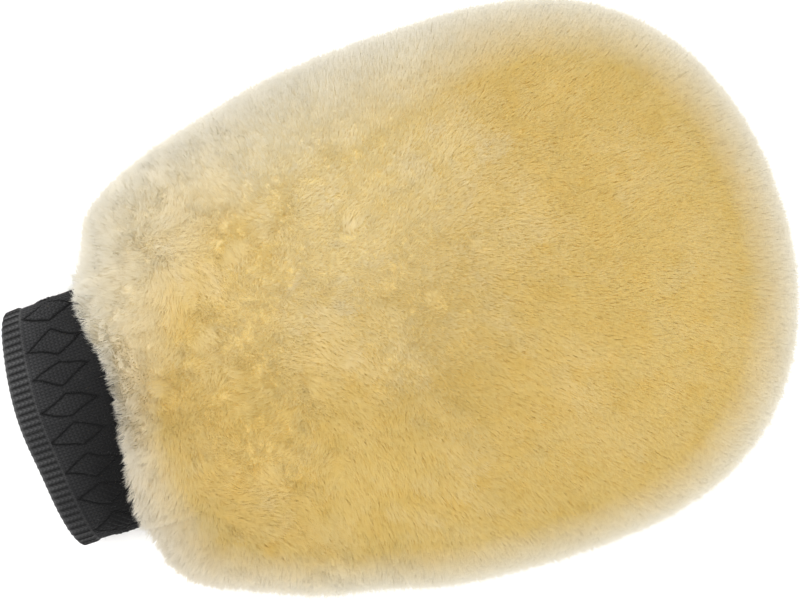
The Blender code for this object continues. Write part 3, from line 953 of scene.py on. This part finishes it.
def make_hide(face, material):
    """Suede skin with soft creases, its wool side and its flesh side a thickness apart."""
    rows, columns = 120, 64
    x = HIDE_MOUTH_X + (HIDE_TIP_X - HIDE_MOUTH_X) * np.sin(np.linspace(0, math.pi / 2, rows))
    x[-1] -= 0.02 * MM  # just short of the tip, so that its row keeps a width
    across = -np.cos(np.linspace(0.0, math.pi, columns))
    x, across = np.meshgrid(x, across, indexing="ij")
    y = midline(x) + across * half_width(x, HIDE_PLAN)
    low = HIDE_LOW.z + pocket_arch(x, across) if face == "back" else np.full_like(x, FLAT_HIDE_Z)
    free = smoothstep(0.0, 0.35, 1.0 - np.abs(across))
    free *= smoothstep(0.0, 20 * MM, HIDE_TIP_X - x) * smoothstep(0.0, 8 * MM, x - HIDE_MOUTH_X)
    crease = ripple(x, y, 32 * MM, 21) + 0.6 * ripple(x, y, 9 * MM, 22)
    low = low + free * CREASE_HEIGHT * (crease if face == "back" else -np.abs(crease))
    under = np.stack([x, y, low], axis=-1)
    over = np.stack([x, y, low + HIDE_THICKNESS], axis=-1)
    ring = np.concatenate([under, over[:, ::-1]], axis=1)
    mesh = grid_mesh(f"{face}_hide_skin", ring[:, ::-1], closed_v=True, capped=True)
    skin = add_piece(mesh, material, f"{face}_hide")


def tube_mesh(name, path, towards, radius, sides=6):
    """Closed thread along a path; towards is a direction across the path at each point."""
    tangent = unit(np.gradient(path, axis=0))
    first = unit(towards - tangent * np.sum(towards * tangent, axis=1, keepdims=True))
    second = np.cross(tangent, first)
    angle = 2 * math.pi * np.arange(sides) / sides
    ring = first[:, None] * np.cos(angle)[:, None] + second[:, None] * np.sin(angle)[:, None]
    return grid_mesh(name, path[:, None] + radius * ring, closed_v=True, capped=True)


def make_overlock(material):
    """Thread wound round the hides' joined edge, one turn for each stitch."""
    box_low, box_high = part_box("perimeter_seam")
    bead = (box_high.z - box_low.z) / 2
    stand_off = box_high.x - bead - HIDE_TIP_X
    low_x, high_x = HIDE_HEEL_X - stand_off, HIDE_TIP_X + stand_off
    middle_x = (HIDE_HEEL_X + HIDE_TIP_X) / 2
    start = math.acos((HIDE_MOUTH_X + MM - middle_x) / (high_x - middle_x))
    angle = np.linspace(start, -start, 3600)
    x = middle_x + (high_x - middle_x) * np.cos(angle)
    width = half_width(x, (low_x, high_x, HIDE_HALF_WIDTH + stand_off))
    z = np.full_like(x, (box_low.z + box_high.z) / 2)
    core = np.stack([x, midline(x) + width * np.sign(np.sin(angle)), z], axis=1)
    run = np.concatenate([[0.0], np.cumsum(np.linalg.norm(np.diff(core, axis=0), axis=1))])
    even = np.linspace(0.0, run[-1], 2600)
    core = np.stack([np.interp(even, run, core[:, k]) for k in range(3)], axis=1)
    outward = unit(np.cross(np.gradient(core, axis=0), (0.0, 0.0, 1.0)))
    turn = (2 * math.pi * even / STITCH_PITCH)[:, None]
    spoke = outward * np.cos(turn) + np.array([0.0, 0.0, 1.0]) * np.sin(turn)
    wound = core + spoke * (bead + THREAD_RADIUS)
    mesh = tube_mesh("perimeter_overlock", wound, spoke, THREAD_RADIUS)
    add_piece(mesh, material)


def recolour(node, material):
    """Gives a CAD node, whose shape stays, its finished material."""
    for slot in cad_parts[node].material_slots:
        slot.material = material


# ---------------- materials


class Nodes:
    """Short way to build a node material round one Principled shader."""

    def __init__(self, name, roughness=0.9, sheen=0.0):
        self.material = bpy.data.materials.new(name)
        self.material.use_nodes = True
        self.tree = self.material.node_tree
        self.shader = self.tree.nodes["Principled BSDF"]
        self.finish("Roughness", roughness)
        self.finish("Sheen Weight", sheen)

    def finish(self, socket, value):
        """Sets one of the shader's inputs, to a value or by another node."""
        self.plug(self.shader.inputs[socket], value)

    def add(self, kind, settings=None, **inputs):
        node = self.tree.nodes.new(kind)
        for key, value in (settings or {}).items():
            setattr(node, key, value)
        for key, value in inputs.items():
            self.plug(node.inputs[key], value)
        return node

    def plug(self, socket, value):
        if isinstance(value, bpy.types.NodeSocket):
            self.tree.links.new(value, socket)
        else:
            socket.default_value = value

    def mix(self, factor, a, b, blend="MIX"):
        node = self.add("ShaderNodeMix", {"data_type": "RGBA", "blend_type": blend})
        for number, value in ((0, factor), (6, a), (7, b)):
            self.plug(node.inputs[number], value)
        return node.outputs[2]

    def ramp(self, factor, colours, positions=None):
        """Blend of colours or greys, spread evenly from 0 to 1 unless positions are given."""
        node = self.add("ShaderNodeValToRGB", Fac=factor)
        elements = node.color_ramp.elements
        while len(elements) < len(colours):
            elements.new(0.5)
        if positions is None:
            positions = np.linspace(0.0, 1.0, len(colours))
        for element, position, colour in zip(elements, positions, colours):
            element.position = position
            element.color = (*(colour if isinstance(colour, tuple) else (colour,) * 3), 1.0)
        return node.outputs[0]

    def maths(self, operation, *values):
        node = self.add("ShaderNodeMath", {"operation": operation})
        for socket, value in zip(node.inputs, values):
            self.plug(socket, value)
        return node.outputs[0]

    def attribute(self, name):
        return self.add("ShaderNodeAttribute", {"attribute_name": name}).outputs["Fac"]

    def texture(self, kind, settings=None, **inputs):
        """A texture fixed to the mitt's own frame."""
        place = self.add("ShaderNodeTexCoord").outputs["Object"]
        return self.add(kind, settings, Vector=place, **inputs).outputs["Fac"]

    def noise(self, scale, detail=2.0):
        return self.texture("ShaderNodeTexNoise", Scale=scale, Detail=detail)

    def bands(self, direction, **inputs):
        return self.texture("ShaderNodeTexWave", {"bands_direction": direction}, **inputs)

    def surface(self, colour, rough=None, height=None, distance=0.3 * MM, strength=1.0):
        """The material with its colour, and where given its roughness and bumps."""
        self.finish("Base Color", colour)
        if rough is not None:
            self.finish("Roughness", rough)
        if height is not None:
            bump = self.add("ShaderNodeBump", Height=height, Distance=distance, Strength=strength)
            self.finish("Normal", bump.outputs["Normal"])
        return self.material


# Lit yellow and shaded gold: the wool's tints, lightened by painted highlight and darkened by
# painted shade
WOOL_LIT_YELLOW = ((0.98, 0.77, 0.29), (0.98, 0.85, 0.45), (0.98, 0.90, 0.63))
WOOL_SHADED_GOLD = ((0.93, 0.69, 0.21), (0.90, 0.72, 0.27), (0.89, 0.75, 0.33))
# Outer colours: paler wool with painted glow in them
WOOL_OUTER = ((0.95, 0.88, 0.70), (0.97, 0.93, 0.81), (0.99, 0.97, 0.91))
WOOL_TONES = ((0.97, 0.92, 0.74), (0.99, 0.98, 0.96), (0.99, 1.01, 1.18))
# Painted shade multiplied onto the wool on the heel slope by the cuff
HEEL_SHADE_TINT = (0.94, 0.92, 0.89, 1.0)
# The undercoat's colours are darkened as painted shade of the deep pile
UNDERCOAT_LIT_YELLOW = ((0.74, 0.61, 0.29), (0.78, 0.65, 0.34))
UNDERCOAT_SHADED_GOLD = ((0.71, 0.55, 0.20), (0.75, 0.59, 0.24))
UNDERCOAT_OUTER = ((0.84, 0.77, 0.61), (0.88, 0.82, 0.69))
LIGHT_THROUGH = 0.47


def by_place(nodes, inner_lit, inner_shaded, outer, tint=(1.0, 1.0, 1.0, 1.0)):
    """Colour of the wool at a place of the mitt, from the facts that its points carry."""
    # Painted highlight and shade: light yellow in the middle, darker gold farther out
    inner = nodes.mix(nodes.attribute("gold_and_shade"), inner_lit, inner_shaded)
    inner = nodes.mix(1.0, inner, tint, "MULTIPLY")
    # Pale outline: paler wool with painted glow
    colour = nodes.mix(nodes.attribute("outline"), inner, outer)
    # Painted shade on the heel slope by the cuff
    return nodes.mix(nodes.attribute("heel_shade"), colour, HEEL_SHADE_TINT, "MULTIPLY")


def let_light_through(nodes, colour, share):
    """Lets part of the light pass through a fibre, as fine wool does."""
    behind = nodes.add("ShaderNodeBsdfTranslucent", Color=colour)
    both = nodes.add("ShaderNodeMixShader")
    for socket, value in zip(both.inputs, (share, nodes.shader.outputs[0], behind.outputs[0])):
        nodes.plug(socket, value)
    nodes.plug(nodes.tree.nodes["Material Output"].inputs["Surface"], both.outputs[0])


def wool_material():
    """Creamy golden wool: deeper gold at the roots, nearly white round the mitt's edge, partly
    paler wool and partly painted glow.
    """
    nodes = Nodes("wool_fibre", roughness=0.85, sheen=0.1)
    along = nodes.attribute("along")
    shades = [nodes.ramp(along, colours) for colours in (WOOL_LIT_YELLOW, WOOL_SHADED_GOLD, WOOL_OUTER)]
    colour = by_place(nodes, *shades, nodes.ramp(nodes.attribute("tone"), WOOL_TONES))
    let_light_through(nodes, colour, LIGHT_THROUGH)
    return nodes.surface(colour)


def undercoat_material():
    """Matted wool, a little darker than the fibres over it: painted shade of the deep pile."""
    nodes = Nodes("wool_undercoat", roughness=0.95)
    speckle = nodes.noise(900.0, detail=3.0)
    coats = (UNDERCOAT_LIT_YELLOW, UNDERCOAT_SHADED_GOLD, UNDERCOAT_OUTER)
    shades = [nodes.ramp(speckle, colours, (0.3, 0.7)) for colours in coats]
    return nodes.surface(by_place(nodes, *shades), height=speckle)


def knit_material(name, colour, bump, sheen):
    """Dark knitted yarn: V-shaped stitches, with painted highlight on what stands proud and
    painted shade between the stitch legs and in the grooves.
    """
    nodes = Nodes(name, roughness=0.9, sheen=sheen)
    nodes.finish("Specular IOR Level", 0.15)
    nodes.finish("Sheen Roughness", 0.6)
    maths = nodes.maths
    around, course = nodes.attribute("around"), nodes.attribute("course")
    across = maths("ABSOLUTE", maths("SUBTRACT", maths("FRACT", around), 0.5))
    slanted = maths("ADD", course, maths("MULTIPLY", across, 1.3))
    leg = maths("ABSOLUTE", maths("SUBTRACT", maths("FRACT", slanted), 0.5))
    leg = maths("SUBTRACT", 1.0, maths("POWER", maths("MULTIPLY", leg, 2.0), 2.0))
    split = maths("MINIMUM", maths("MULTIPLY", across, 7.0), 1.0)
    stitch = maths("MULTIPLY", leg, split)
    fuzz = nodes.noise(2600.0)

    # Painted shade (dark) between the stitch legs and in the grooves, painted highlight (pale) on
    # the raised legs
    dark, pale, groove_shade = (tuple(share * c for c in colour) for share in (0.55, 1.5, 0.15))
    tinted = nodes.ramp(stitch, (dark, colour, pale), (0.0, 0.6, 1.0))
    worn = nodes.ramp(nodes.noise(110.0, detail=3.0), (0.85, (1.2, 1.2, 1.18)), (0.3, 0.7))
    tinted = nodes.mix(1.0, tinted, worn, "MULTIPLY")
    # Painted light: yarn darkened under the wool's shadow near the wrist and on the -Y side,
    # lightened at the rim
    fade = nodes.ramp(nodes.attribute("painted_light"), (0.20, 0.65, 1.1, 1.7), (0.0, 0.3, 0.64, 1.0))
    tinted = nodes.mix(1.0, tinted, fade, "MULTIPLY")
    # Painted shade in the grooves
    tinted = nodes.mix(nodes.attribute("groove"), tinted, (*groove_shade, 1.0))
    rough = nodes.ramp(fuzz, (0.8, 1.0), (0.2, 0.8))
    height = maths("ADD", stitch, maths("MULTIPLY", fuzz, 0.6))
    return nodes.surface(tinted, rough, height, bump, strength=0.7)


def suede_material():
    """Tanned skin: pale tan with a soft nap, darker blotches and fine pores."""
    nodes = Nodes("suede_hide_finish", roughness=0.95, sheen=0.3)
    nap = nodes.noise(1400.0, detail=3.0)
    tans = ((0.52, 0.36, 0.19), (0.64, 0.47, 0.28), (0.72, 0.57, 0.37))
    colour = nodes.ramp(nodes.noise(38.0, detail=5.0), tans, (0.3, 0.55, 0.75))
    shade = nodes.ramp(nap, (0.8, 1.08), (0.3, 0.7))
    rough = nodes.ramp(nap, (0.85, 1.0), (0.2, 0.8))
    return nodes.surface(nodes.mix(1.0, colour, shade, "MULTIPLY"), rough, nap)


def thread_material(name, colour, pitch, axis="X"):
    """Twisted sewing thread: painted shade in the furrows between strands, and a slight shine."""
    nodes = Nodes(name, roughness=0.55, sheen=0.2)
    strands = nodes.bands(axis, Scale=0.314 / pitch, Distortion=1.5, Detail=1.0)
    # dark: painted shade in the furrows
    dark = tuple(0.6 * c for c in colour)
    shade = nodes.ramp(strands, (dark, colour), (0.1, 0.6))
    mottle = nodes.ramp(nodes.noise(3000.0), (0.85, 1.1), (0.3, 0.7))
    rough = nodes.ramp(strands, (0.75, 0.5))
    return nodes.surface(nodes.mix(1.0, shade, mottle, "MULTIPLY"), rough, strands)


def elastic_material():
    """Woven elastic: rubber cords run round the cuff under a close dark weave."""
    nodes = Nodes("woven_elastic_finish", roughness=0.6)
    cords = nodes.bands("X", Scale=260.0, Distortion=0.4)
    picks = nodes.bands("Y", Scale=420.0, Distortion=0.6)
    weave = nodes.mix(1.0, cords, picks, "MULTIPLY")
    blacks = ((0.008, 0.008, 0.009), (0.030, 0.030, 0.032))
    colour = nodes.ramp(weave, blacks, (0.0, 0.8))
    return nodes.surface(colour, nodes.ramp(weave, (0.8, 0.5)), weave)


def lint_material():
    nodes = Nodes("charcoal_lint", roughness=0.9, sheen=0.2)
    return nodes.surface(nodes.ramp(nodes.attribute("tone"), (0.02, 0.11)))


def floor_material():
    nodes = Nodes("white_floor", roughness=0.9)
    nodes.finish("Emission Color", (1.0, 1.0, 1.0, 1.0))
    nodes.finish("Emission Strength", 0.12)
    return nodes.surface((0.95, 0.95, 0.95, 1.0))


# ---------------- stage


def make_floor():
    half = 2.0
    corners = [(-half, -half, 0), (half, -half, 0), (half, half, 0), (-half, half, 0)]
    mesh = bpy.data.meshes.new("floor")
    mesh.from_pydata(corners, [], [(0, 1, 2, 3)])
    mesh.materials.append(floor_material())
    new_object(mesh)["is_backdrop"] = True


def make_camera():
    """Looks straight down; the mitt's axis rises to the right in the picture."""
    tilt = math.radians(18.8)
    field = 292.6 * MM
    middle = Vector((1.0 * MM, 7.6 * MM, 22 * MM))
    data = bpy.data.cameras.new("camera")
    data.lens = 85.0
    distance = field * data.lens / data.sensor_width
    camera = new_object(data)
    camera.location = middle + Vector((0, 0, distance))
    camera.rotation_euler = (0, 0, -tilt)
    bpy.context.scene.camera = camera


def area_light(name, place, target, size, power):
    data = bpy.data.lights.new(name, "AREA")
    data.shape = "DISK"
    data.size = size
    data.energy = power
    light = new_object(data)
    light.location = place
    direction = Vector(target) - Vector(place)
    light.rotation_euler = direction.to_track_quat("-Z", "Y").to_euler()


def make_light():
    world = bpy.data.worlds.new("studio")
    world.use_nodes = True
    background = world.node_tree.nodes["Background"]
    background.inputs["Color"].default_value = (1.0, 1.0, 1.0, 1.0)
    background.inputs["Strength"].default_value = 0.9
    bpy.context.scene.world = world
    area_light("key", (-0.12, 0.25, 1.50), (0, 0, 0.03), 1.0, 11.6)
    area_light("fill", (0.20, -0.80, 1.20), (0, 0, 0.03), 1.2, 2.5)
    bpy.context.scene.view_settings.view_transform = "Standard"


# ---------------- assembly


def main():
    make_camera()
    make_light()
    make_floor()
    rng = np.random.default_rng(SEED)
    wool = wool_material()
    undercoat = undercoat_material()
    for face, count in (("back", BACK_FIBRES), ("palm", PALM_FIBRES)):
        make_wool(face, count, wool, rng)
        make_undercoat(face, undercoat)

    charcoal, pale_charcoal = (0.022, 0.022, 0.023), (0.032, 0.032, 0.033)
    make_welt(knit_material("charcoal_rib_knit", pale_charcoal, 0.25 * MM, 0.12))
    make_outer_knit(knit_material("charcoal_knit", charcoal, 0.25 * MM, 0.05))
    make_inner_knit(knit_material("charcoal_lining_knit", charcoal, 0.2 * MM, 0.1))
    make_lint(lint_material(), rng)

    suede = suede_material()
    make_hide("back", suede)
    make_hide("palm", suede)
    cream_thread = thread_material("cream_thread_finish", (0.66, 0.58, 0.42), 0.8 * MM)
    black_thread = thread_material("black_thread_finish", (0.025, 0.025, 0.026), 1.2 * MM, "Y")
    make_overlock(cream_thread)
    recolour("perimeter_seam", cream_thread)
    recolour("cuff_join_seam", black_thread)
    recolour("cuff_side_seam", black_thread)
    recolour("cuff_elastic", elastic_material())


main()

sizes = {"cad": CAD_BOUNDS, "visual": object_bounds()}
sizes = {name: [list(corner) for corner in box] for name, box in sizes.items()}
